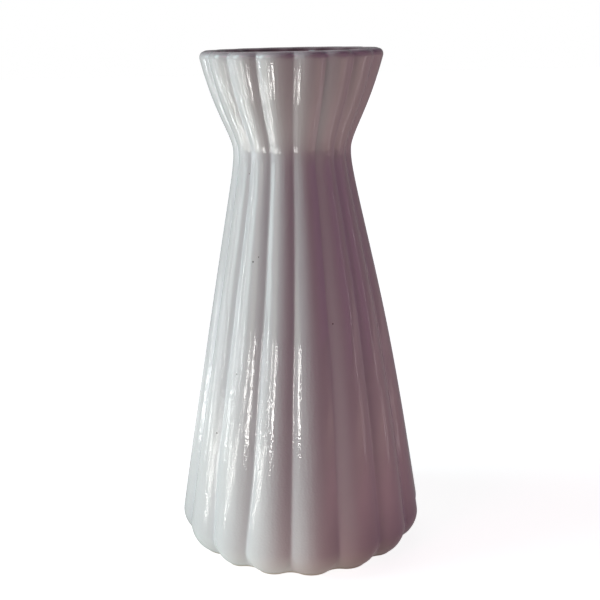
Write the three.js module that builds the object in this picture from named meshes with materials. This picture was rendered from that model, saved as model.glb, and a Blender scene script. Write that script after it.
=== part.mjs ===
// A slip-cast ceramic table vase: a fluted skirt that narrows to a waist, and a fluted collar that flares to the lip.
// The vase is one fired casting. Its separate solids are the clay body and the glass that is fused to it: the outer
// glaze, the lining glaze inside, and the glaze in the recess under the foot. The ring that it stands on is bare clay.
// Millimetres and degrees, +Z up, the origin at the middle of the foot. The front looks along -Y.
import * as THREE from "three";

// The outline, measured to the crests of the flutes.
const HEIGHT = 200;
const BASE_RADIUS = 52.1;
const NECK_RADIUS = 21.5;
const NECK_HEIGHT = 163.2;
const RIM_RADIUS = 35.9;
const SKIRT_BOW = 1.6;
const COLLAR_BOW = 1.5;
const NECK_SOFTNESS = 1.9;
const CORNER_HEIGHT = 11.5;
const CORNER_INSET = 6.7;

// The flutes: convex lobes that meet in sharp valleys, and lean a little on their way down the skirt.
const FLUTES = 16;
const BASE_FLUTE_DEPTH = 2.65;
const NECK_FLUTE_DEPTH = 1.15;
const RIM_FLUTE_DEPTH = 2.1;
const FLUTE_TURN = 1.7;
const SKIRT_LEAN = -7.1;

// The wall and the floor, from one visible face to the other, and the rounding of the lip and of the inside corner.
const WALL = 4.8;
const FLOOR_WALL = 4.6;
const FLOOR_FILLET = 6;
const OUTER_LIP_RADIUS = 3;
const INNER_LIP_RADIUS = 1.8;

// The underside: a flat ring of bare clay round a recess, and how far up the bottom corner the clay stays bare.
const FOOT_RING_WIDTH = 6.5;
const RECESS_DEPTH = 2.4;
const RECESS_SLOPE = 1.2;
const BARE_HEIGHT = 1.4;

// The thickness of the glass on every glazed face.
const GLAZE = 0.4;

// How finely the surfaces are cut.
const SIDES_PER_FLUTE = 4;
const SKIRT_STEPS = 5;
const NECK_STEPS = 4;
const NECK_REACH = 12;
const COLLAR_STEPS = 2;
const BARE_STEPS = 1;
const CORNER_STEPS = 3;
const LIP_STEPS = 2;
const FILLET_STEPS = 2;

const SIDES = FLUTES * SIDES_PER_FLUTE;
const HALF_FLUTE = Math.PI / FLUTES;
const QUARTER_TURN = Math.PI / 2;
const { clamp, degToRad, lerp } = THREE.MathUtils;

// Which share of the collar lies below a height: 0 at the waist and 1 at the rim.
function collarShare(z) {
  return (z - NECK_HEIGHT) / (HEIGHT - NECK_HEIGHT);
}

// The crest radius of the skirt: a cone that bows out a little between the foot and the waist.
function skirtRadius(z) {
  const share = z / NECK_HEIGHT;
  return lerp(BASE_RADIUS, NECK_RADIUS, share) + SKIRT_BOW * Math.sin(Math.PI * clamp(share, 0, 1));
}

// The crest radius of the collar: a flare that bows out a little between the waist and the rim.
function collarRadius(z) {
  const share = collarShare(z);
  return lerp(NECK_RADIUS, RIM_RADIUS, share) + COLLAR_BOW * Math.sin(Math.PI * clamp(share, 0, 1));
}

// The crest radius of the whole wall: the larger of the skirt's and the collar's, with the waist between them rounded
// by a hyperbola.
function crestRadius(z) {
  const skirt = skirtRadius(z);
  const collar = collarRadius(z);
  return (skirt + collar + Math.hypot(skirt - collar, 2 * NECK_SOFTNESS)) / 2;
}

// How far the valleys lie inside the crests.
function fluteDepth(z) {
  if (z < NECK_HEIGHT) return lerp(BASE_FLUTE_DEPTH, NECK_FLUTE_DEPTH, z / NECK_HEIGHT);
  return lerp(NECK_FLUTE_DEPTH, RIM_FLUTE_DEPTH, collarShare(z));
}

// How far the flutes are turned about the axis. They stand straight in the collar.
function fluteTurn(z) {
  return degToRad(FLUTE_TURN + SKIRT_LEAN * clamp(1 - z / NECK_HEIGHT, 0, 1));
}

// The thickness of the wall: even up to the waist, and from there as the lip needs it.
function wallThickness(z) {
  return lerp(WALL, OUTER_LIP_RADIUS + INNER_LIP_RADIUS, clamp(collarShare(z), 0, 1));
}

// The radius of a cross-section at an angle from the nearest crest, on the curve that lies inset inside the wall's
// outer face. A lobe is an arc about a centre on the crest's own radius, through the two valleys beside it. Further
// in the curve is a smaller arc about the same centre, and near a valley it is an arc about the valley's own point.
function lobeRadius(crest, depth, angle, inset) {
  const valley = crest - depth;
  const valleyAcross = valley * Math.sin(HALF_FLUTE);
  const valleyAlong = valley * Math.cos(HALF_FLUTE);
  const centre = (crest ** 2 - valley ** 2) / (2 * (crest - valleyAlong));
  const lobe = crest - centre - inset;
  const reach = Math.atan2(valleyAcross, valleyAlong - centre);
  const meeting = Math.atan2(lobe * Math.sin(reach), centre + lobe * Math.cos(reach));
  if (lobe > 0 && angle <= meeting) {
    return centre * Math.cos(angle) + Math.sqrt(lobe ** 2 - (centre * Math.sin(angle)) ** 2);
  }
  const fromValley = HALF_FLUTE - angle;
  const across = valley * Math.sin(fromValley);
  return valley * Math.cos(fromValley) - Math.sqrt(Math.max(inset ** 2 - across ** 2, 0));
}

// A ring is one level of a surface. A fluted ring says how far it lies inside the wall's outer face, and a round one
// gives its radius.
const flutedRing = (inset, z) => ({ inset, z });
const roundRing = (radius, z) => ({ radius, z });

// The values from one end to the other of a stretch that is cut into equal steps.
function stretch(from, to, steps) {
  return Array.from({ length: steps + 1 }, (_, i) => lerp(from, to, i / steps));
}

// The heights of the wall's rings between its round ends: the skirt, the waist and the collar.
function wallHeights(low, high) {
  const skirt = stretch(low, NECK_HEIGHT - NECK_REACH, SKIRT_STEPS);
  const neck = stretch(NECK_HEIGHT - NECK_REACH, NECK_HEIGHT + NECK_REACH, NECK_STEPS);
  const collar = stretch(NECK_HEIGHT + NECK_REACH, high, COLLAR_STEPS);
  return [...skirt, ...neck.slice(1), ...collar.slice(1)];
}

// The bottom corner, depth below the visible face: part of a parabola that runs from the foot up into the skirt.
function cornerRings(depth, low, high, steps) {
  return stretch(low, high, steps).map((z) => flutedRing(depth + CORNER_INSET * (1 - z / CORNER_HEIGHT) ** 2, z));
}

// The glazed part of the outer face, depth below the glass: bottom corner, skirt, waist, collar, and half of the lip.
function outerRings(depth) {
  const corner = cornerRings(depth, BARE_HEIGHT, CORNER_HEIGHT, CORNER_STEPS);
  const wall = wallHeights(CORNER_HEIGHT, HEIGHT - OUTER_LIP_RADIUS).map((z) => flutedRing(depth, z));
  const lip = stretch(0, QUARTER_TURN, LIP_STEPS).map((angle) => {
    const radius = OUTER_LIP_RADIUS - depth;
    const z = HEIGHT - OUTER_LIP_RADIUS + radius * Math.sin(angle);
    return flutedRing(OUTER_LIP_RADIUS - radius * Math.cos(angle), z);
  });
  return [...corner, ...wall.slice(1), ...lip.slice(1)];
}

// The height of the floor inside.
const FLOOR_HEIGHT = RECESS_DEPTH + FLOOR_WALL;

// The inner face, depth below the glass: the other half of the lip, collar, waist, skirt, and the corner of the floor.
function innerRings(depth) {
  const lip = stretch(0, QUARTER_TURN, LIP_STEPS).map((angle) => {
    const radius = INNER_LIP_RADIUS - depth;
    const z = HEIGHT - INNER_LIP_RADIUS + radius * Math.cos(angle);
    return flutedRing(OUTER_LIP_RADIUS + radius * Math.sin(angle), z);
  });
  const filletTop = FLOOR_HEIGHT + FLOOR_FILLET;
  const heights = wallHeights(filletTop, HEIGHT - INNER_LIP_RADIUS).reverse();
  const wall = heights.map((z) => flutedRing(wallThickness(z) - depth, z));
  const fillet = stretch(0, QUARTER_TURN, FILLET_STEPS).map((angle) => {
    const radius = FLOOR_FILLET + depth;
    return flutedRing(WALL + FLOOR_FILLET - radius * Math.cos(angle), filletTop - radius * Math.sin(angle));
  });
  return [...lip, ...wall.slice(1), ...fillet.slice(1)];
}

// The point of a ring at one of the equal sides round the axis. Side 0 lies in a valley.
function pointOn({ radius, inset, z }, side) {
  const turn = (side % SIDES) * ((2 * HALF_FLUTE) / SIDES_PER_FLUTE);
  const fromCrest = Math.abs((turn % (2 * HALF_FLUTE)) - HALF_FLUTE);
  const reach = radius ?? lobeRadius(crestRadius(z), fluteDepth(z), fromCrest, inset);
  const azimuth = turn + fluteTurn(z);
  return [reach * Math.sin(azimuth), -reach * Math.cos(azimuth), z];
}

// A turned solid with the flutes pressed into it. Its rings run up the outside and back down the inside. The crests
// are revolved, and each vertex is then moved to its place on the fluted section.
// Each quad is cut along the diagonal that climbs towards the crest of its flute, whichever way the rings run, so two
// solids that share a face have the same triangles there.
function flutedSolid(rings) {
  const crests = rings.map(({ radius, inset, z }) => new THREE.Vector2(radius ?? crestRadius(z) - inset, z));
  const geometry = new THREE.LatheGeometry(crests, SIDES);
  const position = geometry.getAttribute("position");
  for (let side = 0; side <= SIDES; side++) {
    rings.forEach((ring, row) => position.setXYZ(side * rings.length + row, ...pointOn(ring, side)));
  }
  const index = [];
  for (let side = 0; side < SIDES; side++) {
    for (let row = 0; row + 1 < rings.length; row++) {
      const near = side * rings.length + row;
      const far = near + rings.length;
      const climbs = rings[row + 1].z > rings[row].z;
      const beforeCrest = side % SIDES_PER_FLUTE < SIDES_PER_FLUTE / 2;
      if (climbs === beforeCrest) index.push(near, far, far + 1, near, far + 1, near + 1);
      else index.push(near, far, near + 1, far + 1, near + 1, far);
    }
  }
  geometry.setIndex(index);
  geometry.computeVertexNormals();
  return geometry;
}

// The clay's own outer and inner faces under the glass, and its bare corner at the foot.
const clayOuter = outerRings(GLAZE);
const clayInner = innerRings(GLAZE);
const clayCorner = cornerRings(GLAZE, 0, BARE_HEIGHT, BARE_STEPS);

// The recess: its side slopes from the foot ring up to its ceiling, and its glaze ends on that slope.
const footValleyRadius = crestRadius(0) - fluteDepth(0) - GLAZE - CORNER_INSET;
const recessMouthRadius = footValleyRadius - FOOT_RING_WIDTH;
const recessRadius = recessMouthRadius - RECESS_SLOPE;
const recessGlazeRadius = recessRadius + (RECESS_SLOPE * GLAZE) / RECESS_DEPTH;

// The fired clay: recess, foot ring, outer face, lip, inner face and floor.
function clayBody() {
  return flutedSolid([
    roundRing(0, RECESS_DEPTH),
    roundRing(recessRadius, RECESS_DEPTH),
    roundRing(recessGlazeRadius, RECESS_DEPTH - GLAZE),
    roundRing(recessMouthRadius, 0),
    ...clayCorner.slice(0, -1),
    ...clayOuter,
    ...clayInner.slice(1),
    roundRing(0, FLOOR_HEIGHT - GLAZE),
  ]);
}

// The outer glaze, from its edge above the bare foot to the top of the lip.
function outerGlaze() {
  return flutedSolid([clayOuter[0], ...outerRings(0), ...clayOuter.toReversed()]);
}

// The lining glaze, from the top of the lip down over the whole floor.
function liningGlaze() {
  return flutedSolid([
    roundRing(0, FLOOR_HEIGHT - GLAZE),
    ...clayInner.toReversed(),
    ...innerRings(0),
    roundRing(0, FLOOR_HEIGHT),
  ]);
}

// The glaze on the ceiling of the recess: a thin disc whose edge lies on the recess's sloping side.
function recessGlaze() {
  return flutedSolid([
    roundRing(0, RECESS_DEPTH - GLAZE),
    roundRing(recessGlazeRadius, RECESS_DEPTH - GLAZE),
    roundRing(recessRadius, RECESS_DEPTH),
    roundRing(0, RECESS_DEPTH),
  ]);
}

const biscuit = new THREE.MeshStandardMaterial({ color: 0xe6dfd3, roughness: 0.85, metalness: 0 });
const whiteGlaze = new THREE.MeshStandardMaterial({ color: 0xd9dddc, roughness: 0.12, metalness: 0 });

// One named solid of the vase.
function piece(name, geometry, material) {
  const mesh = new THREE.Mesh(geometry, material);
  mesh.name = name;
  return mesh;
}

const vase = new THREE.Group();
vase.add(piece("clay_body", clayBody(), biscuit));
vase.add(piece("outer_glaze", outerGlaze(), whiteGlaze));
vase.add(piece("lining_glaze", liningGlaze(), whiteGlaze));
vase.add(piece("recess_glaze", recessGlaze(), whiteGlaze));

export default vase;
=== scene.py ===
"""A fluted white ceramic table vase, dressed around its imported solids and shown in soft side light.

The vase is one slip-cast and fired pot. Its pieces are the bare fired clay and the three coats of glass on
it: the outer glaze, the lining inside and the glaze in the recess under the foot. Each is a fine closed
surface that is worked out from the same sizes as the solid that it stands for.
The vase's sizes are in millimetres and degrees up to the point where a surface becomes a mesh, which is in
metres. The room's are in metres and degrees. Azimuth 0 is the side that the camera sees, and 90 is its right.
"""

import logging
import math
from dataclasses import dataclass, field
from enum import Enum
from typing import Any, Union

import bpy
import numpy as np
from mathutils import Matrix, Vector


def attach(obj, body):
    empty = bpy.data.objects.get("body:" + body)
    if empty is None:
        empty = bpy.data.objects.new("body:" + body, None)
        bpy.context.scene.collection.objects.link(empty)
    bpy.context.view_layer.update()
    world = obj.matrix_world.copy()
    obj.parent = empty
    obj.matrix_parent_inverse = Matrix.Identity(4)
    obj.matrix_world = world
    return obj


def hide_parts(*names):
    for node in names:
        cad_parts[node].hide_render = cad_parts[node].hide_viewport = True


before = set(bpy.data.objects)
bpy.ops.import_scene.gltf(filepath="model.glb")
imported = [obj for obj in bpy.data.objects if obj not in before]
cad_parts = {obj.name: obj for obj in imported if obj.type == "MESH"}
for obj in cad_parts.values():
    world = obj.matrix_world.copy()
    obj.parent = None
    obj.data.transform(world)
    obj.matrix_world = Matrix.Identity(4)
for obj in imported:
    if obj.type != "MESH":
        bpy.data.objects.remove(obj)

logging.basicConfig(level=logging.INFO, format="%(name)s: %(message)s")
log = logging.getLogger("vase")

MM = 0.001
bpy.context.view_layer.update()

Triple = tuple[float, float, float]
Colour = Triple
Numbers = Union[np.ndarray, float]
Value = Union["Signal", float]
Inputs = dict[Union[str, int], Any]

WHITE: Colour = (1.0, 1.0, 1.0)
WARM: Colour = (1.0, 0.99, 0.95)
COOL: Colour = (0.96, 1.0, 1.0)
VASE_MIDDLE = Vector((0.0, 0.0, 0.1))
SHARP_ANGLE = 50.0


def round_axis(azimuth: float, distance: float, height: float) -> Triple:
    """A place given by where it lies round the vase's axis.

    Args:
        azimuth: its direction from the axis, in degrees.
        distance: its distance from the axis.
        height: its height.

    Returns:
        The distance times the azimuth's sine, minus the distance times its cosine, and the height.
    """
    turn = math.radians(azimuth)
    across, back = distance * math.sin(turn), -distance * math.cos(turn)
    return across, back, height


def new_object(name: str, data: bpy.types.ID) -> bpy.types.Object:
    """Makes an object and puts it in the scene.

    Args:
        name: its name.
        data: its mesh, lamp or camera.

    Returns:
        The object.
    """
    made = bpy.data.objects.new(name, data)
    bpy.context.scene.collection.objects.link(made)
    return made


class Signal:
    """The output of a node, as a number that Python's operators can be used on."""

    def __init__(self, desk: "NodeDesk", socket: bpy.types.NodeSocket) -> None:
        """Keeps an output socket and the node desk of its material."""
        self.desk = desk
        self.socket = socket

    def _math(self, operation: str, first: Value, second: Value, clamp: bool = False) -> "Signal":
        """Adds a Math node.

        Args:
            operation: the node's operation.
            first: its first value.
            second: its second value.
            clamp: whether the result is kept between 0 and 1.

        Returns:
            The node's result.
        """
        settings = {"operation": operation, "use_clamp": clamp}
        made = self.desk.node("ShaderNodeMath", settings, {0: first, 1: second})
        return Signal(self.desk, made.outputs[0])

    def __add__(self, other: Value) -> "Signal":
        """The sum."""
        return self._math("ADD", self, other)

    def __radd__(self, other: float) -> "Signal":
        """The sum, where the signal stands on the right."""
        return self._math("ADD", other, self)

    def __sub__(self, other: Value) -> "Signal":
        """The difference."""
        return self._math("SUBTRACT", self, other)

    def __rsub__(self, other: float) -> "Signal":
        """The difference, where the signal stands on the right."""
        return self._math("SUBTRACT", other, self)

    def __mul__(self, other: Value) -> "Signal":
        """The product."""
        return self._math("MULTIPLY", self, other)

    def __rmul__(self, other: float) -> "Signal":
        """The product, where the signal stands on the right."""
        return self._math("MULTIPLY", other, self)

    def clamped(self) -> "Signal":
        """The value, kept between 0 and 1."""
        return self._math("ADD", self, 0.0, clamp=True)

    def larger(self, other: Value) -> "Signal":
        """The larger of two values."""
        return self._math("MAXIMUM", self, other)

    def exponential(self) -> "Signal":
        """e to the power of the value."""
        return self._math("EXPONENT", self, 0.0)

    def ramp(self, low: float, high: float) -> "Signal":
        """A smooth step.

        Args:
            low: the value that gives 0.
            high: the value that gives 1. It may be the smaller of the two.

        Returns:
            0 to 1, with a smooth start and end.
        """
        settings = {"interpolation_type": "SMOOTHSTEP"}
        flip = low > high
        inputs = {0: self, 1: min(low, high), 2: max(low, high), 3: float(flip), 4: float(not flip)}
        return Signal(self.desk, self.desk.node("ShaderNodeMapRange", settings, inputs).outputs[0])

    def ramp_mm(self, low: float, high: float) -> "Signal":
        """The smooth step of a length in metres between two lengths in millimetres."""
        return self.ramp(low * MM, high * MM)


class NodeDesk:
    """Where a material's or the world's nodes are made and wired."""

    def __init__(self, tree: bpy.types.NodeTree) -> None:
        """Empties a node tree, so that it can be filled."""
        self.tree = tree
        tree.nodes.clear()

    def node(self, kind: str, settings: dict[str, Any], inputs: Inputs) -> bpy.types.Node:
        """Makes a node.

        Args:
            kind: the node's type name.
            settings: its settings, such as an operation, which are set before its sockets.
            inputs: what its sockets hold: values, signals or output sockets, by name or number.

        Returns:
            The new node.
        """
        made = self.tree.nodes.new(kind)
        for name, value in settings.items():
            setattr(made, name, value)
        for name, value in inputs.items():
            socket = made.inputs[name]
            if isinstance(value, Signal):
                self.tree.links.new(value.socket, socket)
            elif isinstance(value, bpy.types.NodeSocket):
                self.tree.links.new(value, socket)
            elif isinstance(value, tuple) and socket.type == "RGBA":
                socket.default_value = (*value, 1.0)
            else:
                socket.default_value = value
        return made

    def shader(self, kind: str, inputs: Inputs) -> bpy.types.NodeSocket:
        """Makes a shader node of a kind, such as Emission, and gives its output."""
        return self.node(f"ShaderNode{kind}", {}, inputs).outputs[0]

    def vector(self, operation: str, *values: Any) -> bpy.types.NodeSocket:
        """The vector that a Vector Math node works out from one to three vectors."""
        inputs = dict(enumerate(values))
        return self.node("ShaderNodeVectorMath", {"operation": operation}, inputs).outputs["Vector"]

    def measure(self, operation: str, first: Any, second: Any) -> Signal:
        """The number that a Vector Math node works out from two vectors."""
        made = self.node("ShaderNodeVectorMath", {"operation": operation}, {0: first, 1: second})
        return Signal(self, made.outputs["Value"])

    def place(self) -> bpy.types.NodeSocket:
        """The point on the piece, in metres."""
        return self.node("ShaderNodeTexCoord", {}, {}).outputs["Object"]

    def coordinates(self) -> list[Signal]:
        """The point's three coordinates, in metres: to the right, to the back and up."""
        split = self.node("ShaderNodeSeparateXYZ", {}, {0: self.place()})
        return [Signal(self, socket) for socket in split.outputs]

    def attribute(self, name: str) -> Signal:
        """The value of one of the piece's own attributes."""
        return Signal(self, self.node("ShaderNodeAttribute", {"attribute_name": name}, {}).outputs["Fac"])

    def _noise_at(self, where: bpy.types.NodeSocket, size: float, detail: float) -> Signal:
        """The noise at a place, with spots of this size in millimetres and this many finer layers."""
        inputs = {"Vector": where, "Scale": 1.0 / (size * MM), "Detail": detail}
        return Signal(self, self.node("ShaderNodeTexNoise", {}, inputs).outputs["Fac"])

    def noise(self, size: float, detail: float = 2.0, stretch: Triple = (1.0, 1.0, 1.0)) -> Signal:
        """Even noise about 0.5.

        Args:
            size: the size of its spots, in millimetres.
            detail: how many finer layers it has.
            stretch: how much longer the spots are along each axis.

        Returns:
            The noise, from 0 to 1.
        """
        scale = tuple(1.0 / longer for longer in stretch)
        mapped = self.node("ShaderNodeMapping", {}, {"Vector": self.place(), "Scale": scale})
        return self._noise_at(mapped.outputs[0], size, detail)

    def wrapped(self, radius: float, stretch: float = 1.0) -> bpy.types.NodeSocket:
        """The place as it is on a cylinder round the axis.

        It is the direction from the axis times a fixed radius, with the height divided by the stretch.

        Args:
            radius: the fixed radius, in millimetres.
            stretch: what the height is divided by.

        Returns:
            The place on the cylinder, in metres.
        """
        place = self.place()
        outward = self.vector("NORMALIZE", self.vector("MULTIPLY", place, (1.0, 1.0, 0.0)))
        climb = self.vector("MULTIPLY", place, (0.0, 0.0, 1.0 / stretch))
        return self.vector("MULTIPLY_ADD", outward, (radius * MM,) * 3, climb)

    def strands(self, width: float, radius: float, stretch: float) -> Signal:
        """Noise in strands that run up and down, with this width at the radius and longer by the stretch."""
        return self._noise_at(self.wrapped(radius, stretch), width, 1.0)

    def spots(self, spacing: float, radius: float, chance: float) -> Signal:
        """Small round spots, scattered through space.

        Args:
            spacing: the mean distance between the places where a spot may be, in millimetres.
            radius: a spot's radius, in millimetres.
            chance: the share of the places that hold one.

        Returns:
            1 inside a spot and 0 outside.
        """
        inputs = {"Vector": self.place(), "Scale": 1.0 / (spacing * MM), "Randomness": 1.0}
        cells = self.node("ShaderNodeTexVoronoi", {"feature": "F1"}, inputs)
        near = Signal(self, cells.outputs["Distance"]) * spacing
        split = self.node("ShaderNodeSeparateColor", {}, {"Color": cells.outputs["Color"]})
        drawn = Signal(self, split.outputs[0]).ramp(chance + 0.001, chance)
        return near.ramp(radius, 0.5 * radius) * drawn

    def mix(self, share: Value, first: Any, second: Any) -> bpy.types.NodeSocket:
        """A colour between two colours.

        Args:
            share: 0 for the first and 1 for the second.
            first: a colour or a colour socket.
            second: a colour or a colour socket.

        Returns:
            The mixed colour's socket.
        """
        settings = {"data_type": "RGBA", "clamp_factor": True}
        made = self.node("ShaderNodeMix", settings, {0: share, 6: first, 7: second})
        return made.outputs[2]

    def glow(self, share: Signal, colour: Colour, under: Any = None) -> bpy.types.NodeSocket:
        """A colour times a share, added to another colour.

        Args:
            share: how much of the colour there is.
            colour: the colour, which may be brighter than 1.
            under: the colour or colour socket that it adds to, if any.

        Returns:
            The sum's socket.
        """
        inputs = {0: colour, "Scale": share}
        scaled = self.node("ShaderNodeVectorMath", {"operation": "SCALE"}, inputs).outputs["Vector"]
        return scaled if under is None else self.vector("ADD", under, scaled)

    def bump(self, height: Signal, distance: float, under: Any = None) -> bpy.types.NodeSocket:
        """A normal that is tilted by a height.

        Args:
            height: the height, where 1 is the full distance.
            distance: the height that 1 stands for, in millimetres.
            under: the normal that it adds to, if any.

        Returns:
            The normal's socket.
        """
        inputs: Inputs = {"Height": height, "Distance": distance * MM, "Strength": 1.0}
        if under is not None:
            inputs["Normal"] = under
        return self.node("ShaderNodeBump", {}, inputs).outputs[0]

    def surface(self, **inputs: Any) -> None:
        """Ends a material with a Principled shader.

        Args:
            inputs: what the shader's sockets hold, by their names, with underscores for the spaces.
        """
        named = {name.replace("_", " "): value for name, value in inputs.items()}
        shader = self.shader("BsdfPrincipled", named)
        self.node("ShaderNodeOutputMaterial", {}, {"Surface": shader})


def new_material(name: str) -> tuple[bpy.types.Material, NodeDesk]:
    """Makes an empty material.

    Args:
        name: the material's name.

    Returns:
        The material and its node desk.
    """
    material = bpy.data.materials.new(name)
    material.use_nodes = True
    return material, NodeDesk(material.node_tree)


@dataclass(frozen=True)
class Mottle:
    """Soft spots: noise of a size in millimetres, through a smooth step from low to high, times the share."""

    size: float
    detail: float
    low: float
    high: float
    share: float = 1.0

    def on(self, desk: NodeDesk) -> Signal:
        """The spots, from 0 to the share."""
        return desk.noise(self.size, self.detail).ramp(self.low, self.high) * self.share


@dataclass(frozen=True)
class Speck:
    """A pinhole or a speck in the glaze, where it lies round the vase and how high.

    It is measured on a cylinder round the axis, as far from it as the surface is there. It is full up to the
    core's share of its radius and fades out from there.
    """

    azimuth: float
    height: float
    radius: float
    distance_from_axis: float
    core: float = 0.55

    def on(self, desk: NodeDesk) -> Signal:
        """Where the speck is.

        Args:
            desk: the material's node desk.

        Returns:
            1 in the speck and 0 outside it.
        """
        centre = round_axis(self.azimuth, self.distance_from_axis * MM, self.height * MM)
        away = desk.measure("DISTANCE", desk.wrapped(self.distance_from_axis), centre)
        return away.ramp_mm(self.radius, self.core * self.radius)


@dataclass(frozen=True)
class WhiteGlaze:
    """A glossy white glaze: cool where it pools in the grooves, faintly mottled, rippled and pinholed.
    Plum shade is painted on its edges.

    Its strands and its fine peel are strong in two bands on the window's side, one low on the skirt and one
    on the collar, and weak elsewhere. A size is across a pattern and a depth is a bump's height.
    """

    body: Colour = (0.80, 0.81, 0.80)
    pooled: Colour = (0.76, 0.775, 0.785)
    edge_shade: Colour = (0.42, 0.32, 0.35)
    # Painted plum shade, for the lip and the edge above the foot.
    speck: Colour = (0.10, 0.075, 0.06)
    pooled_share: float = 0.85
    edge_shade_share: float = 0.9
    speck_share: float = 0.85
    pooled_mottle: Mottle = Mottle(26.0, 3.0, 0.35, 0.7, 0.2)
    shade_colour_mottle: Mottle = Mottle(7.0, 2.0, 0.3, 0.75, 0.03)
    roughness: float = 0.07
    roughness_size: float = 3.0
    roughness_spread: float = 0.05
    speck_roughness: float = 0.3
    refraction: float = 1.52
    pinhole_spacing: float = 17.0
    pinhole_radius: float = 0.28
    pinhole_chance: float = 0.10
    pinhole_depth: float = 0.12
    ripple_size: float = 5.5
    ripple_stretch: float = 3.0
    ripple_depth: float = 0.12
    strand_size: float = 1.2
    strand_radius: float = 45.0
    strand_stretch: float = 10.0
    strand_depth: float = 0.05
    strand_on_skirt: float = 0.8
    strand_on_collar: float = 1.1
    peel_size: float = 0.8
    peel_depth: float = 0.06
    peel_on_skirt: float = 0.8
    peel_on_collar: float = 0.2
    between_bands: float = 0.15
    off_window: float = 0.05
    window_side: tuple[float, float] = (12.0, 3.0)
    skirt_band: tuple[float, float] = (100.0, 86.0)
    collar_band: tuple[float, float] = (142.0, 154.0)
    specks: tuple[Speck, ...] = ()

    def _colour(self, desk: NodeDesk, pits: Signal) -> bpy.types.NodeSocket:
        """The colour: the body, then the pooled glass, the painted plum shade at the edges and the specks
        over it.

        Args:
            desk: the material's node desk.
            pits: where the pinholes and specks are.

        Returns:
            The colour's socket.
        """
        pooled = desk.attribute("pool") * self.pooled_share + self.pooled_mottle.on(desk)
        colour = desk.mix(pooled.clamped(), self.body, self.pooled)
        # The edge attribute lays painted plum shade on the lip and the foot's edge; the mottle adds faint
        # random spots of the same colour.
        edge_shade = desk.attribute("edge") * self.edge_shade_share + self.shade_colour_mottle.on(desk)
        colour = desk.mix(edge_shade, colour, self.edge_shade)
        return desk.mix(pits * self.speck_share, colour, self.speck)

    def _in_bands(self, desk: NodeDesk, skirt: float, collar: float) -> Signal:
        """How strong a fine pattern is: by band on the window's side, and weak elsewhere.

        Args:
            desk: the material's node desk.
            skirt: its strength in the band on the skirt.
            collar: its strength in the band on the collar.

        Returns:
            The strength.
        """
        across, _, height = desk.coordinates()
        low, high = height.ramp_mm(*self.skirt_band), height.ramp_mm(*self.collar_band)
        strength = low * skirt + high * collar + self.between_bands
        return across.ramp_mm(*self.window_side) * strength + self.off_window

    def _normal(self, desk: NodeDesk, pits: Signal) -> bpy.types.NodeSocket:
        """The normal: ripple, strands, peel and pits, each as a bump on the one before.

        Args:
            desk: the material's node desk.
            pits: where the pinholes and specks are.

        Returns:
            The normal's socket.
        """
        ripple = desk.noise(self.ripple_size, stretch=(1.0, 1.0, self.ripple_stretch))
        strand = desk.strands(self.strand_size, self.strand_radius, self.strand_stretch)
        strand = strand * self._in_bands(desk, self.strand_on_skirt, self.strand_on_collar)
        peel = desk.noise(self.peel_size, detail=0.0)
        peel = peel * self._in_bands(desk, self.peel_on_skirt, self.peel_on_collar)
        normal = desk.bump(ripple, self.ripple_depth)
        normal = desk.bump(strand, self.strand_depth, normal)
        normal = desk.bump(peel, self.peel_depth, normal)
        return desk.bump(1.0 - pits, self.pinhole_depth, normal)

    def material(self, name: str) -> bpy.types.Material:
        """Makes the glaze's material.

        Args:
            name: its name.

        Returns:
            The material.
        """
        material, desk = new_material(name)
        pits = desk.spots(self.pinhole_spacing, self.pinhole_radius, self.pinhole_chance)
        for speck in self.specks:
            pits = pits.larger(speck.on(desk))
        uneven = desk.noise(self.roughness_size) * self.roughness_spread
        smoothest = self.roughness - self.roughness_spread / 2.0
        desk.surface(
            Base_Color=self._colour(desk, pits),
            Roughness=uneven + smoothest + pits * self.speck_roughness,
            IOR=self.refraction,
            Normal=self._normal(desk, pits),
        )
        return material


@dataclass(frozen=True)
class BareClay:
    """Fired clay without glaze: matt, off-white and finely grained, greyed where it rubs on the table."""

    body: Colour = (0.74, 0.70, 0.62)
    dark: Colour = (0.60, 0.555, 0.48)
    rubbed: Colour = (0.56, 0.54, 0.51)
    grain: Mottle = Mottle(0.45, 3.0, 0.35, 0.75, 0.5)
    cloud: Mottle = Mottle(9.0, 3.0, 0.3, 0.8, 0.4)
    wear: Mottle = Mottle(4.0, 4.0, 0.4, 0.62)
    grain_depth: float = 0.06
    rubbed_height: float = 0.25
    rubbed_share: float = 0.7
    roughness: float = 0.88
    rubbed_smoother: float = 0.2

    def material(self, name: str) -> bpy.types.Material:
        """Makes the clay's material.

        Args:
            name: its name.

        Returns:
            The material.
        """
        material, desk = new_material(name)
        height = desk.coordinates()[2]
        rubbed = height.ramp_mm(self.rubbed_height, 0.0) * self.wear.on(desk)
        colour = desk.mix(self.grain.on(desk) + self.cloud.on(desk), self.body, self.dark)
        desk.surface(
            Base_Color=desk.mix(rubbed * self.rubbed_share, colour, self.rubbed),
            Roughness=self.roughness - rubbed * self.rubbed_smoother,
            Normal=desk.bump(desk.noise(self.grain.size, self.grain.detail), self.grain_depth),
        )
        return material


class Closing(Enum):
    """How the rings of a surface close it."""

    LOOP = "the last ring joins the first"
    POLES = "the first and the last ring close to a point on the axis"


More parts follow.
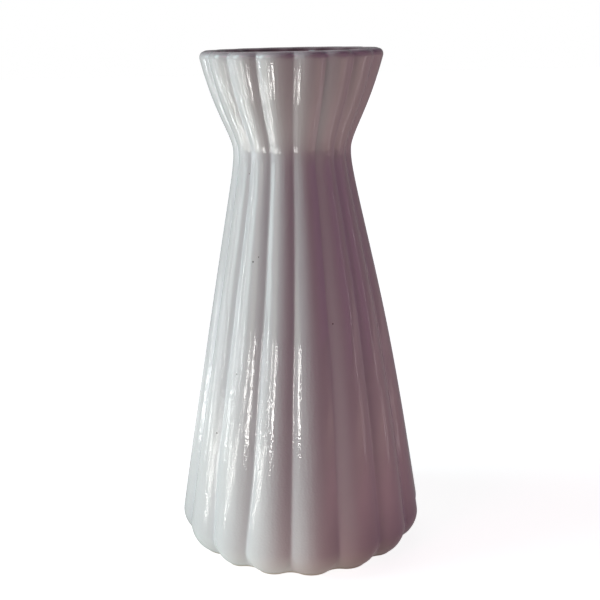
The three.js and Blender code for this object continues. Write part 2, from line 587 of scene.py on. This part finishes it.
@dataclass
class Rings:
    """The rings of a surface: how far each lies inside the wall's outer face, or its radius, and its height.

    A ring is fluted where blend is 1 and round where it is 0, with the radius given in round_radius. Edge
    says how much painted plum shade the glaze has there, from 0 to 1.
    """

    inset: np.ndarray
    height: np.ndarray
    blend: np.ndarray
    round_radius: np.ndarray
    edge: np.ndarray

    @classmethod
    def fluted(cls, inset: Numbers, height: np.ndarray, edge: Numbers = 0.0) -> "Rings":
        """Fluted rings.

        Args:
            inset: how far they lie inside the outer face.
            height: their heights.
            edge: how much painted plum shade the glaze has there, from 0 to 1.

        Returns:
            The rings.
        """
        inset, height = np.broadcast_arrays(np.asarray(inset, float), np.asarray(height, float))
        ones = np.ones_like(height)
        return cls(inset.copy(), height.copy(), ones, ones * 0, ones * edge)

    @classmethod
    def round(cls, radius: np.ndarray, height: Numbers) -> "Rings":
        """Round rings.

        Args:
            radius: their radii.
            height: their heights.

        Returns:
            The rings.
        """
        radius, height = np.broadcast_arrays(np.asarray(radius, float), np.asarray(height, float))
        zero = np.zeros_like(height)
        return cls(zero.copy(), height.copy(), zero.copy(), radius.copy(), zero.copy())

    @classmethod
    def disc(cls, radius: float, height: float, count: int) -> "Rings":
        """The rings of a flat disc, from a tenth of its radius out to its rim.

        Args:
            radius: its radius.
            height: its height.
            count: how many rings lie inside its rim.

        Returns:
            The rings, from the inside out.
        """
        shares = np.linspace(0.1, 0.95, count)
        radii = np.append(shares * radius, radius)
        return cls.round(radii, height)

    def columns(self) -> tuple[np.ndarray, ...]:
        """Its five columns of numbers, in the order of its fields."""
        return self.inset, self.height, self.blend, self.round_radius, self.edge

    def __add__(self, other: "Rings") -> "Rings":
        """These rings, followed by others."""
        return Rings(*(np.concatenate(pair) for pair in zip(self.columns(), other.columns())))

    def __getitem__(self, part: slice) -> "Rings":
        """Some of the rings, in the order that the slice gives."""
        return Rings(*(column[part] for column in self.columns()))


@dataclass
class VaseForm:
    """The vase's outline and flutes: the sizes that its pieces share, measured to the crests of the flutes.

    Single valleys have strayed: the drifts give by how many degrees, at each of the drift heights.
    """

    height: float = 200.0
    base_radius: float = 52.1
    neck_radius: float = 21.5
    neck_height: float = 163.2
    rim_radius: float = 35.9
    skirt_bow: float = 1.6
    collar_bow: float = 1.5
    neck_softness: float = 1.9
    corner_height: float = 11.5
    corner_inset: float = 6.7
    flutes: int = 16
    base_flute_depth: float = 2.65
    neck_flute_depth: float = 1.15
    rim_flute_depth: float = 2.1
    flute_turn: float = 1.7
    skirt_lean: float = -7.1
    wall: float = 4.8
    floor_wall: float = 4.6
    floor_fillet: float = 6.0
    outer_lip_radius: float = 3.0
    inner_lip_radius: float = 1.8
    foot_ring_width: float = 6.5
    recess_depth: float = 2.4
    recess_slope: float = 1.2
    bare_height: float = 1.4
    glaze: float = 0.4
    sway: float = 0.6
    sway_skew: float = 1.4
    drift_heights: tuple[float, ...] = (10.0, 40.0, 75.0, 110.0, 146.0, 200.0)
    drifts: dict[int, tuple[float, ...]] = field(
        default_factory=lambda: {
            14: (2.7, -0.5, -1.5, -1.5, 0.8, 0.0),
            15: (0.0, 1.0, 0.7, 0.9, 0.6, -1.2),
            0: (-0.4, -1.4, -2.3, -1.8, -0.6, -0.4),
            1: (0.0, -1.0, -1.5, -2.2, -1.3, -2.6),
            2: (0.5, -0.3, -1.1, -0.4, -0.8, -5.0),
            3: (0.0, 0.0, -0.5, -0.5, -0.5, -4.0),
            4: (0.0, 0.0, 0.0, 0.0, 0.0, -2.0),
        }
    )
    crowding: float = 0.6
    pool_width: float = 1.6
    dense_reach: float = 14.0
    dense_times: float = 1.5
    hidden_step: float = 6.0
    # How much painted plum shade the top of the inside of the lip has, and how far down the inside wall it
    # fades, in millimetres.
    edge_shade_on_lip: float = 0.6
    edge_shade_reach: float = 3.0

    @property
    def floor_height(self) -> float:
        """The height of the floor inside."""
        return self.recess_depth + self.floor_wall

    def collar_share(self, z: np.ndarray) -> np.ndarray:
        """The share of the collar that lies below a height: 0 at the waist and 1 at the rim."""
        return (z - self.neck_height) / (self.height - self.neck_height)

    def crest_radius(self, z: np.ndarray) -> np.ndarray:
        """The radius to the crests.

        The skirt and the collar are cones with a sine's half wave added, and the wall is the larger of the
        two, with a hyperbola between them.

        Args:
            z: heights.

        Returns:
            The radii.
        """
        share = z / self.neck_height
        bow = self.skirt_bow * np.sin(np.pi * np.clip(share, 0.0, 1.0))
        skirt = self.base_radius + (self.neck_radius - self.base_radius) * share + bow
        rise = self.collar_share(z)
        bow = self.collar_bow * np.sin(np.pi * np.clip(rise, 0.0, 1.0))
        collar = self.neck_radius + (self.rim_radius - self.neck_radius) * rise + bow
        return (skirt + collar + np.hypot(skirt - collar, 2.0 * self.neck_softness)) / 2.0

    def flute_depth(self, z: np.ndarray) -> np.ndarray:
        """How far the valleys lie inside the crests: straight lines from base to waist and waist to rim.

        Args:
            z: heights.

        Returns:
            The depths.
        """
        share = np.clip(z / self.neck_height, 0.0, 1.0)
        skirt = self.base_flute_depth + (self.neck_flute_depth - self.base_flute_depth) * share
        rise = np.clip(self.collar_share(z), 0.0, None)
        return skirt + (self.rim_flute_depth - self.neck_flute_depth) * rise

    def wall_thickness(self, z: np.ndarray) -> np.ndarray:
        """The wall's thickness: even up to the waist, and from there a straight line to the lip's."""
        lip = self.outer_lip_radius + self.inner_lip_radius
        return self.wall + (lip - self.wall) * np.clip(self.collar_share(z), 0.0, 1.0)

    def valleys(self, z: np.ndarray) -> np.ndarray:
        """The azimuths of the valleys, in radians.

        They are even, lean a little in the skirt, and some have strayed by a few degrees, as in a hand-made
        mould. A strayed valley's drift is a straight line from one of the drift heights to the next.

        Args:
            z: heights, one for each ring.

        Returns:
            One row for each ring, with the valley that closes the round repeated at its end.
        """
        even = np.arange(self.flutes + 1) * (360.0 / self.flutes)
        lean = self.flute_turn + self.skirt_lean * np.clip(1.0 - z / self.neck_height, 0.0, 1.0)
        azimuth = even[None, :] + lean[:, None]
        for valley, drift in self.drifts.items():
            azimuth[:, valley] += np.interp(z, self.drift_heights, drift)
        azimuth[:, -1] = azimuth[:, 0] + 360.0
        return np.radians(azimuth)

    def axis_sway(self, z: np.ndarray) -> np.ndarray:
        """How far the axis strays to the right: a sine's whole wave from foot to rim, drawn to the rim."""
        share = np.clip(z / self.height, 0.0, 1.0)
        return self.sway * np.sin(2.0 * np.pi * share**self.sway_skew)

    def points(self, rings: Rings, sides_per_flute: int, softness: float) -> tuple[np.ndarray, np.ndarray]:
        """The points of a surface and how near each is to a valley.

        A lobe of the section is an arc about a centre on its crest's radius, through the valleys beside it.
        On a curve further in it is a smaller arc about the same centre, and near the valley an arc about the
        valley's point. The angle from the valley is rounded by a hyperbola, so that the valley has a small
        fillet. The sides are closer together at the valleys, by the crowding's share of a cosine's half wave.
        The nearness is e to the power of minus (the distance from the valley by the pool's width) squared.

        Args:
            rings: the surface's rings.
            sides_per_flute: how many steps there are from valley to valley.
            softness: the valley's rounding, across, in millimetres.

        Returns:
            The points, as rings by sides by three, and the nearness to a valley, as rings by sides.
        """
        z = rings.height
        valleys = self.valleys(z)
        even = np.arange(sides_per_flute) / sides_per_flute
        step = (1.0 - self.crowding) * even + self.crowding * (0.5 - 0.5 * np.cos(np.pi * even))
        width = np.diff(valleys, axis=1)[:, :, None]
        azimuth = valleys[:, :-1, None] + width * step
        half = width / 2.0
        crest = self.crest_radius(z)[:, None, None]
        valley = crest - self.flute_depth(z)[:, None, None]
        inset = rings.inset[:, None, None]
        from_valley = half - np.abs(width * step - half)
        soft = softness / valley
        from_valley = np.hypot(from_valley, soft) * half / np.hypot(half, soft)
        angle = half - from_valley
        centre = (crest**2 - valley**2) / (2.0 * (crest - valley * np.cos(half)))
        lobe = crest - centre - inset
        reach = np.arctan2(valley * np.sin(half), valley * np.cos(half) - centre)
        meeting = np.arctan2(lobe * np.sin(reach), centre + lobe * np.cos(reach))
        on_lobe = (lobe > 0) & (angle <= meeting)
        arc = centre * np.cos(angle)
        arc = arc + np.sqrt(np.maximum(lobe**2 - (centre * np.sin(angle)) ** 2, 0.0))
        rib_across = valley * np.sin(from_valley)
        rib = valley * np.cos(from_valley) - np.sqrt(np.maximum(inset**2 - rib_across**2, 0.0))
        fluted = np.where(on_lobe, arc, rib)
        blend = rings.blend[:, None, None]
        radius = fluted * blend + rings.round_radius[:, None, None] * (1.0 - blend)
        across = self.axis_sway(z)[:, None, None] + radius * np.sin(azimuth)
        back = -radius * np.cos(azimuth)
        spots = np.stack([across, back, np.broadcast_to(z[:, None, None], across.shape)], axis=-1)
        near = np.exp(-((valley * from_valley / self.pool_width) ** 2)) * blend
        return spots.reshape(len(z), -1, 3), near.reshape(len(z), -1)

    def wall_heights(self, low: float, high: float, step: float) -> np.ndarray:
        """The heights of the rings from one round end of a wall to the other, closer together at the waist.

        Args:
            low: the lowest.
            high: the highest.
            step: the usual distance between them.

        Returns:
            The heights, rising.
        """
        below, above = self.neck_height - self.dense_reach, self.neck_height + self.dense_reach
        in_neck = int(2.0 * self.dense_reach * self.dense_times / step) + 2
        skirt = np.linspace(low, below, max(int((below - low) / step), 2))
        neck = np.linspace(below, above, in_neck)
        collar = np.linspace(above, high, max(int((high - above) / step), 2))
        return np.concatenate([skirt[:-1], neck, collar[1:]])

    def corner(self, depth: float, low: float, high: float, count: int) -> Rings:
        """The bottom corner: part of a parabola that runs from the foot up into the skirt.

        Args:
            depth: how far inside the visible face it lies.
            low: the height where it starts.
            high: the height where it ends.
            count: how many rings it has.

        Returns:
            The rings, rising.
        """
        height = np.linspace(low, high, count)
        inset = depth + self.corner_inset * (1.0 - height / self.corner_height) ** 2
        return Rings.fluted(inset, height)

    def outer_face(self, depth: float, step: float, corner_count: int, lip_count: int) -> Rings:
        """The outer face from its bare edge over the corner, skirt, waist and collar to the top of the lip.

        The lip's outer half is a quarter circle. Its painted plum shade grows with the fourth power of the
        sine of the angle along it.

        Args:
            depth: how far inside the visible face it lies.
            step: the distance between the wall's rings.
            corner_count: how many rings the corner has.
            lip_count: how many rings the lip has.

        Returns:
            The rings, rising.
        """
        corner = self.corner(depth, self.bare_height, self.corner_height, corner_count)
        heights = self.wall_heights(self.corner_height, self.height - self.outer_lip_radius, step)
        angle = np.linspace(0.0, np.pi / 2.0, lip_count)
        radius = self.outer_lip_radius - depth
        lip = Rings.fluted(
            self.outer_lip_radius - radius * np.cos(angle),
            self.height - self.outer_lip_radius + radius * np.sin(angle),
            np.sin(angle) ** 4,
        )
        return corner + Rings.fluted(depth, heights[1:]) + lip[1:]

    def inner_face(self, depth: float, step: float, fillet_count: int, lip_count: int) -> Rings:
        """The inner face from the top of the lip down the collar, waist and skirt to the flat of the floor.

        The lip's inner half and the corner of the floor are quarter circles. The painted plum shade is
        strongest at the lip's inner side, and fades evenly from there down the wall over its reach.

        Args:
            depth: how far inside the glass it lies.
            step: the distance between the wall's rings.
            fillet_count: how many rings the corner of the floor has.
            lip_count: how many rings the lip has.

        Returns:
            The rings, falling.
        """
        angle = np.linspace(0.0, np.pi / 2.0, lip_count)
        radius = self.inner_lip_radius - depth
        lip = Rings.fluted(
            self.outer_lip_radius + radius * np.sin(angle),
            self.height - self.inner_lip_radius + radius * np.cos(angle),
            self.edge_shade_on_lip + (1.0 - self.edge_shade_on_lip) * np.sin(angle),
        )
        top = self.floor_height + self.floor_fillet
        heights = self.wall_heights(top, self.height - self.inner_lip_radius, step)[::-1]
        # Painted plum shade at the top of the inside wall, fading down over its reach.
        edge_shade = np.clip(1.0 - (heights[0] - heights) / self.edge_shade_reach, 0.0, 1.0)
        wall = Rings.fluted(self.wall_thickness(heights) - depth, heights, edge_shade)
        angle = np.linspace(0.0, np.pi / 2.0, fillet_count)
        radius = self.floor_fillet + depth
        inset = self.wall + self.floor_fillet - radius * np.cos(angle)
        fillet = Rings.fluted(inset, top - radius * np.sin(angle))
        return lip + wall[1:] + fillet[1:]

    def clay_outside(self) -> Rings:
        """The clay's face under the outer glaze. It is hidden, so its rings are few."""
        return self.outer_face(self.glaze, self.hidden_step, corner_count=10, lip_count=5)

    def clay_inside(self) -> Rings:
        """The clay's face under the lining. It is hidden, so its rings are few."""
        return self.inner_face(self.glaze, self.hidden_step, fillet_count=5, lip_count=5)

    def floor(self, height: float) -> Rings:
        """The flat of the floor, short of the flutes.

        Args:
            height: its height.

        Returns:
            The rings, from the middle out.
        """
        flat = float(self.crest_radius(np.array(self.floor_height)) - self.wall - self.floor_fillet)
        radii = np.linspace(0.12, 0.88, 7) * (flat - self.base_flute_depth)
        return Rings.round(radii, height)

    def recess_radii(self) -> Triple:
        """The radii of the recess, whose side is a straight slope.

        Returns:
            The radius at the foot, at the face of the recess's glaze and at the ceiling.
        """
        ground = np.array(0.0)
        valley = float(self.crest_radius(ground) - self.flute_depth(ground)) - self.glaze
        mouth = valley - self.corner_inset - self.foot_ring_width
        ceiling = mouth - self.recess_slope
        rim = ceiling + (mouth - ceiling) * self.glaze / self.recess_depth
        return mouth, rim, ceiling


@dataclass
class Piece:
    """A closed piece of the vase: how it is built from rings, and what it stands for."""

    form: VaseForm
    name: str
    node: str
    slot: str
    sides_per_flute: int = 24
    softness: float = 0.5

    def rings(self) -> tuple[Rings, Closing]:
        """The rings of the piece and how they close it. Each piece has its own."""
        raise NotImplementedError

    def build(self, material: bpy.types.Material) -> bpy.types.Object:
        """Makes the mesh and dresses it.

        Args:
            material: the piece's material.

        Returns:
            The piece, riding on the vase's body.
        """
        rings, closing = self.rings()
        points, pool = self.form.points(rings, self.sides_per_flute, self.softness)
        mesh = self._mesh(points, closing)
        for name, values in (("pool", pool.ravel()), ("edge", np.repeat(rings.edge, points.shape[1]))):
            with_poles = np.zeros(len(mesh.vertices), np.float32)
            with_poles[: len(values)] = values
            mesh.attributes.new(name, "FLOAT", "POINT").data.foreach_set("value", with_poles)
        mesh.materials.append(material)
        piece = new_object(self.name, mesh)
        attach(piece, "root")
        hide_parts(self.node)
        return piece

    def _mesh(self, points: np.ndarray, closing: Closing) -> bpy.types.Mesh:
        """Joins the rings into one closed mesh.

        Vertex k of ring r has the number r times the sides plus k, and the poles come last.

        Args:
            points: the points, as rings by sides by three, in millimetres.
            closing: how the rings close the surface.

        Returns:
            The mesh, in metres.
        """
        rows, sides = points.shape[:2]
        number = np.arange(rows * sides).reshape(rows, sides)
        if closing is Closing.LOOP:
            number = np.vstack([number, number[:1]])
        near, above = number[:-1], number[1:]
        quads = np.stack([near, np.roll(near, -1, 1), np.roll(above, -1, 1), above], axis=-1)
        vertices = points.reshape(-1, 3) * MM
        loops, sizes = [quads.ravel()], [np.full(near.size, 4)]
        if closing is Closing.POLES:
            first, last = rows * sides, rows * sides + 1
            start, end = number[0], number[-1]
            begin_fan = np.stack([np.roll(start, -1), start, np.full(sides, first)], axis=-1)
            end_fan = np.stack([end, np.roll(end, -1), np.full(sides, last)], axis=-1)
            poles = np.array([[0.0, 0.0, points[0, 0, 2]], [0.0, 0.0, points[-1, 0, 2]]]) * MM
            vertices = np.vstack([vertices, poles])
            loops += [begin_fan.ravel(), end_fan.ravel()]
            sizes += [np.full(2 * sides, 3)]
        mesh = bpy.data.meshes.new(self.name)
        corners, counts = np.concatenate(loops), np.concatenate(sizes)
        starts = np.concatenate([[0], np.cumsum(counts)[:-1]])
        mesh.vertices.add(len(vertices))
        mesh.vertices.foreach_set("co", vertices.astype(np.float32).ravel())
        mesh.loops.add(len(corners))
        mesh.loops.foreach_set("vertex_index", corners.astype(np.int32))
        mesh.polygons.add(len(counts))
        mesh.polygons.foreach_set("loop_start", starts.astype(np.int32))
        mesh.polygons.foreach_set("use_smooth", np.ones(len(counts), bool))
        mesh.update(calc_edges=True)
        mesh.validate()
        mesh.set_sharp_from_angle(angle=math.radians(SHARP_ANGLE))
        return mesh


@dataclass
class OuterGlaze(Piece):
    """The glass on the outside: a rolled edge above the foot, the fluted face and the lip's outer half."""

    step: float = 1.4
    edge_roll: float = 2.2
    edge_loss: float = 0.9
    foot_edge_shade: float = 0.15

    def rings(self) -> tuple[Rings, Closing]:
        """Runs up the visible face and back down on the clay. The edge above the foot is a quarter ellipse.

        Returns:
            The rings and how they close.
        """
        face = self.form.outer_face(0.0, self.step, corner_count=26, lip_count=11)
        below_roll = 1.0 - np.clip((face.height - face.height[0]) / self.edge_roll, 0.0, 1.0)
        thinning = 1.0 - np.sqrt(np.clip(1.0 - below_roll**2, 0.0, 1.0))
        face.inset += self.form.glaze * self.edge_loss * thinning
        # A little painted plum shade where the glaze thins along the rolled edge above the foot.
        face.edge = np.maximum(face.edge, self.foot_edge_shade * thinning)
        return face + self.form.clay_outside()[::-1], Closing.LOOP


@dataclass
class LiningGlaze(Piece):
    """The glass inside, from the inner half of the lip down over the whole floor."""

    sides_per_flute: int = 12
    softness: float = 1.4
    step: float = 2.2

    def rings(self) -> tuple[Rings, Closing]:
        """Runs up on the clay from the middle of the floor and back down the visible face to the middle.

        Returns:
            The rings and how they close.
        """
        form = self.form
        under, over = form.floor(form.floor_height - form.glaze), form.floor(form.floor_height)
        face = form.inner_face(0.0, self.step, fillet_count=9, lip_count=9)
        return under + form.clay_inside()[::-1] + face + over[::-1], Closing.POLES


@dataclass
class RecessGlaze(Piece):
    """The glass on the ceiling of the recess under the foot."""

    sides_per_flute: int = 6

    def rings(self) -> tuple[Rings, Closing]:
        """Runs out on the visible face and back in on the clay, in flat discs.

        Returns:
            The rings and how they close.
        """
        form = self.form
        _, rim, ceiling = form.recess_radii()
        face = Rings.disc(rim, form.recess_depth - form.glaze, 8)
        clay = Rings.disc(ceiling, form.recess_depth, 8)
        return face + clay[::-1], Closing.POLES


@dataclass
class ClayBody(Piece):
    """The fired clay. Only its foot ring, its bare corner and the side of the recess show."""

    def rings(self) -> tuple[Rings, Closing]:
        """Runs from the middle of the recess over the foot and up the outside, then down to the floor.

        Returns:
            The rings and how they close.
        """
        form = self.form
        mouth, rim, ceiling = form.recess_radii()
        recess = Rings.disc(ceiling, form.recess_depth, 5)
        slope = np.linspace(0.0, 1.0, 5)
        side = Rings.round(rim + (mouth - rim) * slope, (form.recess_depth - form.glaze) * (1.0 - slope))
        foot = form.corner(form.glaze, 0.0, form.bare_height, 9)
        walls = foot[:-1] + form.clay_outside() + form.clay_inside()[1:]
        floor = form.floor(form.floor_height - form.glaze)
        return recess + side + walls + floor[::-1], Closing.POLES


@dataclass
class Vase:
    """The whole vase: its form, the specks in its outer glaze, and its four pieces and their finishes."""

    form: VaseForm = field(default_factory=VaseForm)
    specks: tuple[Speck, ...] = (
        Speck(-32.3, 122.7, 0.42, 30.33),
        Speck(-28.3, 124.6, 0.28, 29.63),
        Speck(-38.3, 79.4, 0.34, 38.79),
        Speck(23.2, 99.3, 0.34, 33.87),
        Speck(-51.4, 53.4, 0.42, 42.47),
        Speck(-20.7, 44.1, 0.26, 44.47),
    )

    def build(self) -> list[bpy.types.Object]:
        """Makes the pieces in the order that a potter would: clay, lining, outer glaze and recess.

        Returns:
            The pieces.
        """
        clay = BareClay().material("bare_clay")
        outer = WhiteGlaze(specks=self.specks).material("white_glaze")
        # The lining's painted plum shade at its lip is nearly black.
        lining = WhiteGlaze(body=(0.78, 0.785, 0.77), edge_shade=(0.13, 0.05, 0.075)).material("lining_glaze")
        recess = WhiteGlaze(body=(0.77, 0.775, 0.765), ripple_depth=0.15).material("recess_glaze")
        return [
            ClayBody(self.form, "fired_clay", "clay_body", "biscuit").build(clay),
            LiningGlaze(self.form, "glaze_lining", "lining_glaze", "lining_glaze").build(lining),
            OuterGlaze(self.form, "glaze_outside", "outer_glaze", "white_glaze").build(outer),
            RecessGlaze(self.form, "glaze_under_foot", "recess_glaze", "recess_glaze").build(recess),
        ]


@dataclass(frozen=True)
class Glow:
    """A soft bright place in the room, such as the sky in a window or a pale wall, seen in one direction."""

    azimuth: float
    elevation: float
    sharpness: float
    colour: Colour

    def share(self, desk: NodeDesk, direction: bpy.types.NodeSocket) -> Signal:
        """How much of the glow a direction has.

        It is e to the power of the sharpness times (the cosine of the angle between them minus 1).

        Args:
            desk: the world's node desk.
            direction: the direction's socket.

        Returns:
            The share, from 0 to 1.
        """
        lift = math.radians(self.elevation)
        way = round_axis(self.azimuth, math.cos(lift), math.sin(lift))
        cosine = desk.measure("DOT_PRODUCT", direction, way)
        return ((cosine - 1.0) * self.sharpness).exponential()


@dataclass(frozen=True)
class Pool:
    """A soft pool of light on the table, which the vase sees from the side and below."""

    azimuth: float
    distance: float
    reach: float
    colour: Colour

    def share(self, desk: NodeDesk) -> Signal:
        """How much of the pool a point has: e to the power of minus (its distance by the reach) squared.

        Args:
            desk: the table's node desk.

        Returns:
            The share, from 0 to 1.
        """
        centre = round_axis(self.azimuth, self.distance, 0.0)
        ratio = desk.measure("DISTANCE", desk.place(), centre) * (1.0 / self.reach)
        return (ratio * ratio * -1.0).exponential()


@dataclass(frozen=True)
class Strip:
    """A narrow lamp that runs straight from one place to another and shows in gloss alone.

    Its ends are the azimuth in degrees, and the distance from the axis and the height in metres. Its power is
    its radiance times pi times its area.
    """

    name: str
    start: Triple
    end: Triple
    width: float
    radiance: float
    colour: Colour

    def build(self) -> bpy.types.Object:
        """Makes the lamp, which faces the middle of the vase.

        Returns:
            The lamp.
        """
        first, last = Vector(round_axis(*self.start)), Vector(round_axis(*self.end))
        middle = (first + last) / 2.0
        along = (last - first).normalized()
        toward = VASE_MIDDLE - middle
        toward = (toward - along * toward.dot(along)).normalized()
        data = bpy.data.lights.new(self.name, "AREA")
        data.shape = "RECTANGLE"
        data.size = self.width
        data.size_y = (last - first).length
        data.energy = self.radiance * math.pi * data.size * data.size_y
        data.color = self.colour
        lamp = new_object(self.name, data)
        turned = Matrix((toward.cross(along), along, -toward)).transposed().to_4x4()
        lamp.matrix_world = Matrix.Translation(middle) @ turned
        lamp.visible_camera = False
        lamp.visible_diffuse = False
        lamp.visible_transmission = False
        return lamp


@dataclass
class Studio:
    """The plain room: a pale table, a white backdrop, a window on the left and a dim plum wall on the right.

    The table lies a hair below the foot, so that the two faces don't meet.
    """

    table_size: float = 8.0
    table_drop: float = 0.02 * MM
    table_shade: Colour = (0.6, 0.6, 0.6)
    table_white: float = 0.88
    room: Colour = (0.01, 0.01, 0.01)
    seen_in_gloss: float = 0.18
    glows: tuple[Glow, ...] = (
        Glow(-90.0, 16.0, 90.0, (4.4, 5.7, 6.1)),
        Glow(-78.0, 16.0, 90.0, (3.4, 4.6, 4.3)),
        Glow(-86.0, 32.0, 60.0, (4.8, 6.5, 6.6)),
        Glow(-78.0, 2.0, 90.0, (3.2, 3.7, 3.6)),
        Glow(-54.0, 16.0, 90.0, (2.0, 1.35, 1.15)),
        Glow(-42.0, 2.0, 90.0, (1.6, 1.7, 1.35)),
        Glow(-50.0, 32.0, 60.0, (3.0, 0.8, 1.8)),
        Glow(180.0, 50.0, 14.0, (0.9, 0.9, 0.9)),
        Glow(72.0, 5.0, 12.0, (0.31, 0.02, 0.35)),
    )
    pools: tuple[Pool, ...] = (
        Pool(-90.0, 1.10, 0.50, (1.85, 1.87, 2.10)),
        Pool(90.0, 1.10, 0.50, (0.82, 0.60, 0.59)),
        Pool(-72.0, 0.40, 0.17, (1.56, 1.58, 1.32)),
        Pool(72.0, 0.40, 0.17, (1.10, 0.83, 0.66)),
        Pool(-60.0, 0.18, 0.08, (1.75, 1.87, 1.80)),
        Pool(60.0, 0.18, 0.08, (0.91, 0.48, 0.52)),
        Pool(-140.0, 0.22, 0.13, (0.85, 0.88, 0.88)),
        Pool(-30.0, 0.085, 0.045, (0.69, 0.82, 0.80)),
        Pool(0.0, 0.085, 0.045, (0.23, 0.05, 0.0)),
    )
    strips: tuple[Strip, ...] = (
        Strip("upper_streak", (-42.0, 0.20, 0.098), (-46.0, 0.20, 0.050), 0.012, 16.0, WARM),
        Strip("table_streak", (-66.0, 0.19, 0.001), (-54.0, 0.55, 0.001), 0.040, 9.0, WARM),
        Strip("foot_streak", (-70.0, 0.20, 0.001), (-66.0, 0.11, 0.001), 0.005, 14.0, WARM),
        Strip("front_streak", (-27.0, 0.20, 0.098), (-30.0, 0.20, 0.035), 0.024, 17.0, WARM),
        Strip("thin_streak", (-68.0, 0.20, 0.098), (-65.0, 0.20, 0.062), 0.004, 22.0, COOL),
        Strip("side_streak", (-86.0, 0.20, 0.160), (-82.0, 0.20, 0.010), 0.003, 20.0, COOL),
        Strip("edge_streak", (-106.0, 0.20, 0.190), (-101.0, 0.20, 0.020), 0.003, 20.0, COOL),
        Strip("far_side_streak", (-82.0, 0.45, 0.001), (-78.0, 0.20, 0.001), 0.026, 12.0, (1.0, 1.0, 0.97)),
        Strip("far_edge_streak", (-104.0, 0.50, 0.001), (-100.0, 0.22, 0.001), 0.026, 14.0, COOL),
        Strip("right_streak", (84.0, 0.20, 0.170), (80.0, 0.20, 0.005), 0.003, 4.0, (1.0, 0.88, 0.93)),
        Strip("right_table_streak", (96.0, 0.50, 0.001), (86.0, 0.20, 0.001), 0.030, 1.0, (1.0, 0.90, 0.93)),
    )

    def build(self) -> None:
        """Makes the table, the strips and the world."""
        self._table()
        for strip in self.strips:
            strip.build()
        self._world()

    def _seen(self, desk: NodeDesk) -> Signal:
        """How much of the white background a ray sees: all for the camera and through glass, some in gloss.

        Args:
            desk: the table's or the world's node desk.

        Returns:
            The share, from 0 to 1.
        """
        path = desk.node("ShaderNodeLightPath", {}, {}).outputs
        straight = Signal(desk, path["Is Camera Ray"]) + Signal(desk, path["Is Transmission Ray"])
        return (straight + Signal(desk, path["Is Glossy Ray"]) * self.seen_in_gloss).clamped()

    def _table(self) -> None:
        """Makes the table: pools of light to the vase, and white to the camera apart from the vase's shadow.

        It is clear from below, so that the foot can be looked at.
        """
        half, low = self.table_size / 2.0, -self.table_drop
        corners = [(-half, -half, low), (half, -half, low), (half, half, low), (-half, half, low)]
        mesh = bpy.data.meshes.new("table")
        mesh.from_pydata(corners, [], [(0, 1, 2, 3)])
        material, desk = new_material("table")
        light = None
        for pool in self.pools:
            light = desk.glow(pool.share(desk), pool.colour, light)
        lit = desk.shader("Emission", {"Color": light, "Strength": 1.0})
        shaded = desk.shader("BsdfDiffuse", {"Color": self.table_shade})
        bright = desk.shader("Emission", {"Color": WHITE, "Strength": self.table_white})
        white = desk.shader("AddShader", {0: shaded, 1: bright})
        above = desk.shader("MixShader", {0: self._seen(desk), 1: lit, 2: white})
        from_below = desk.node("ShaderNodeNewGeometry", {}, {}).outputs["Backfacing"]
        clear = desk.shader("BsdfTransparent", {})
        one_sided = desk.shader("MixShader", {0: from_below, 1: above, 2: clear})
        desk.node("ShaderNodeOutputMaterial", {}, {"Surface": one_sided})
        mesh.materials.append(material)
        table = new_object("table", mesh)

    def _world(self) -> None:
        """Makes the world: white to the camera, and a dim room with soft glows to the vase."""
        world = bpy.data.worlds.new("room")
        bpy.context.scene.world = world
        world.use_nodes = True
        desk = NodeDesk(world.node_tree)
        direction = desk.node("ShaderNodeTexCoord", {}, {}).outputs["Generated"]
        light: Any = self.room
        for glow in self.glows:
            light = desk.glow(glow.share(desk, direction), glow.colour, light)
        room = desk.shader("Background", {"Color": light, "Strength": 1.0})
        white = desk.shader("Background", {"Color": WHITE, "Strength": 1.0})
        both = desk.shader("MixShader", {0: self._seen(desk), 1: room, 2: white})
        desk.node("ShaderNodeOutputWorld", {}, {"Surface": both})


@dataclass
class PhotoCamera:
    """The camera, a little above the rim and two vase heights in front, in millimetres and degrees."""

    distance: float = 390.7
    height: float = 209.0
    pitch: float = 15.567
    yaw: float = 0.197
    roll: float = 1.178
    focal_in_frame_widths: float = 1.6489
    sensor: float = 36.0
    nearest: float = 10.0
    farthest: float = 50000.0

    def build(self) -> bpy.types.Object:
        """Makes the camera and sets it as the scene's.

        Returns:
            The camera.
        """
        data = bpy.data.cameras.new("photo_camera")
        data.sensor_width = self.sensor
        data.lens = self.sensor * self.focal_in_frame_widths
        data.clip_start = self.nearest * MM
        data.clip_end = self.farthest * MM
        camera = new_object("photo_camera", data)
        place = Matrix.Translation((0.0, -self.distance * MM, self.height * MM))
        turn = Matrix.Rotation(math.radians(-self.yaw), 4, "Z")
        tip = Matrix.Rotation(math.radians(90.0 - self.pitch), 4, "X")
        roll = Matrix.Rotation(math.radians(-self.roll), 4, "Z")
        camera.matrix_world = place @ turn @ tip @ roll
        bpy.context.scene.camera = camera
        return camera


def main() -> None:
    """Builds the camera, the vase and the room."""
    bpy.context.scene.view_settings.view_transform = "Standard"
    PhotoCamera().build()
    for piece in Vase().build():
        mesh = piece.data
        log.info("%s: %d vertices, %d faces", piece.name, len(mesh.vertices), len(mesh.polygons))
    Studio().build()


if __name__ == "__main__":
    main()
